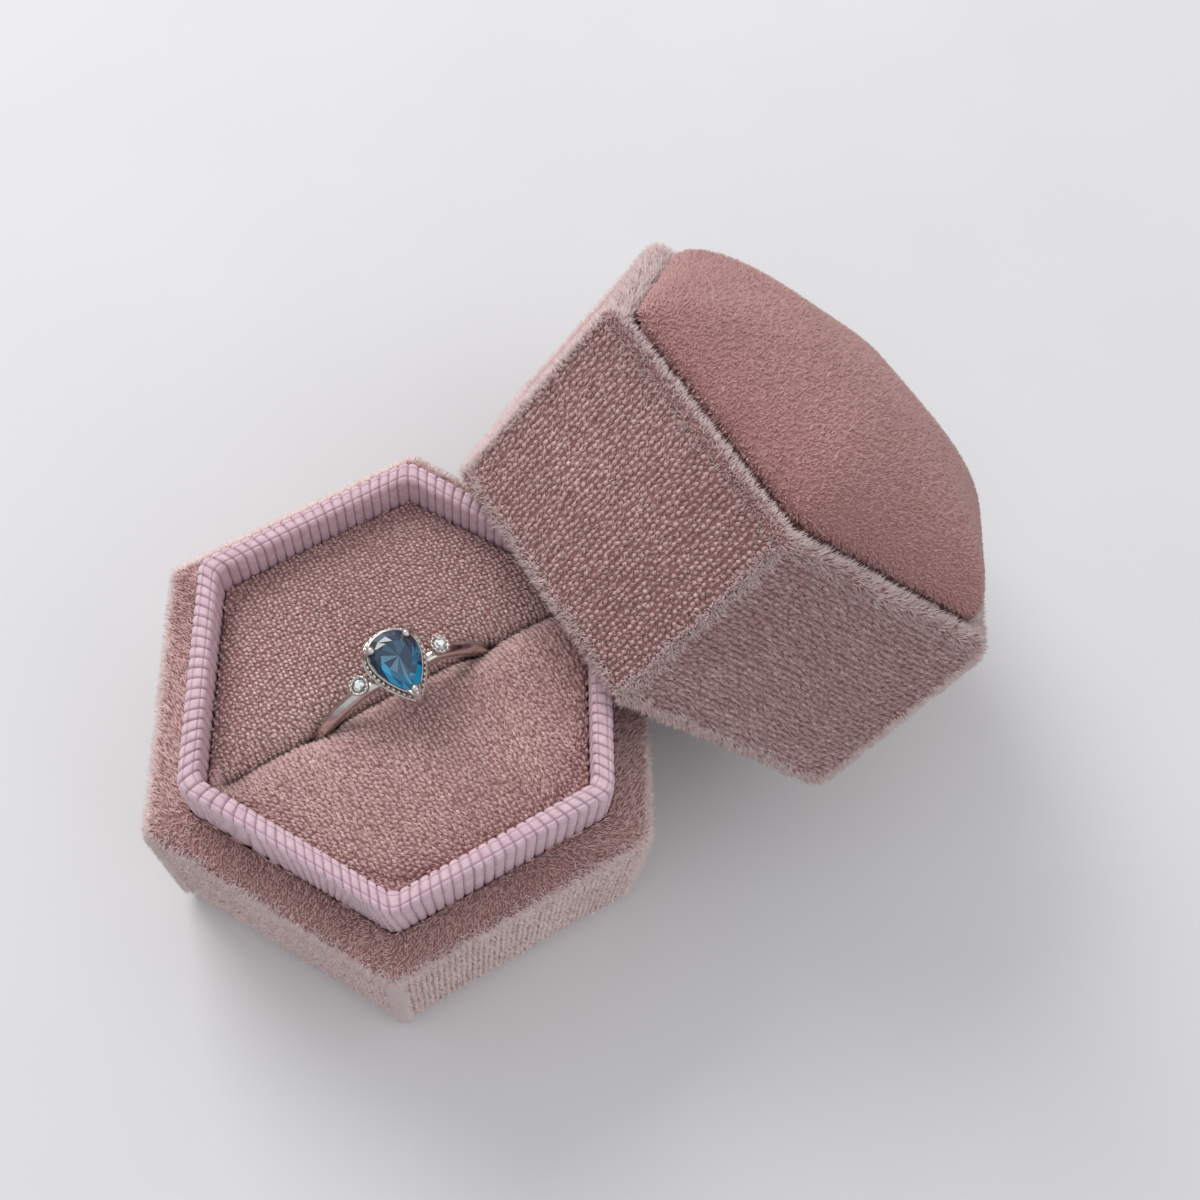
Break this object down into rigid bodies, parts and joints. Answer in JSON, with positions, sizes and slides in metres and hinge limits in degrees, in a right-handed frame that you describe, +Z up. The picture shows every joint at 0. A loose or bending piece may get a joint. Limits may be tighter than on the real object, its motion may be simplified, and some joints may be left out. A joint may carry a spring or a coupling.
{
  "type": "ring box",
  "caption": "Hexagonal velvet ring box with a ribbon-covered collar, a slotted cushion holding a pear-stone ring, and its domed lid off and leaning on the base.",
  "frame": {"origin": "middle of the base's underside, on the surface that it stands on", "axes": "+Z up; +X along the ring slot, towards the corner of the base that the lid leans over; the pear stone points to -Y"},
  "size_m": [0.0921, 0.0555, 0.0496],
  "materials": {
    "velvet": "dusty rose cut-pile velvet with a pale sheen where the pile leans",
    "ribbon": "pale lavender-pink grosgrain ribbon with cross ribs",
    "felt": "matt felt",
    "foam": "open-cell foam",
    "grey_board": "matt grey board",
    "silver": "polished silver",
    "blue_stone": "faceted deep blue topaz",
    "clear_stone": "faceted clear stone"
  },
  "bodies": {
    "base": {"base_foot_felt": "felt", "base_velvet_cover": "velvet", "base_floor_board": "grey_board", "base_wall_board": "grey_board", "collar_board": "grey_board", "collar_ribbon": "ribbon", "cushion_velvet_front": "velvet", "cushion_velvet_back": "velvet", "cushion_foam_front": "foam", "cushion_foam_back": "foam"},
    "lid": {"lid_velvet_cover": "velvet", "lid_wall_board": "grey_board", "lid_top_board": "grey_board", "lid_lining_walls": "velvet", "lid_lining_pad": "velvet", "dome_foam": "foam", "dome_velvet": "velvet"},
    "ring": {"ring_shank": "silver", "pear_setting": "silver", "pear_stone": "blue_stone", "side_cup_left": "silver", "side_cup_right": "silver", "side_stone_left": "clear_stone", "side_stone_right": "clear_stone"}
  },
  "joints": [
    {"name": "lid_lift_off", "type": "slide", "parent": "base", "child": "lid", "axis": [0, 0, 1], "range_m": [0, 0.06]},
    {"name": "ring_lift_out", "type": "slide", "parent": "base", "child": "ring", "axis": [0, 0, 1], "range_m": [0, 0.03]}
  ]
}
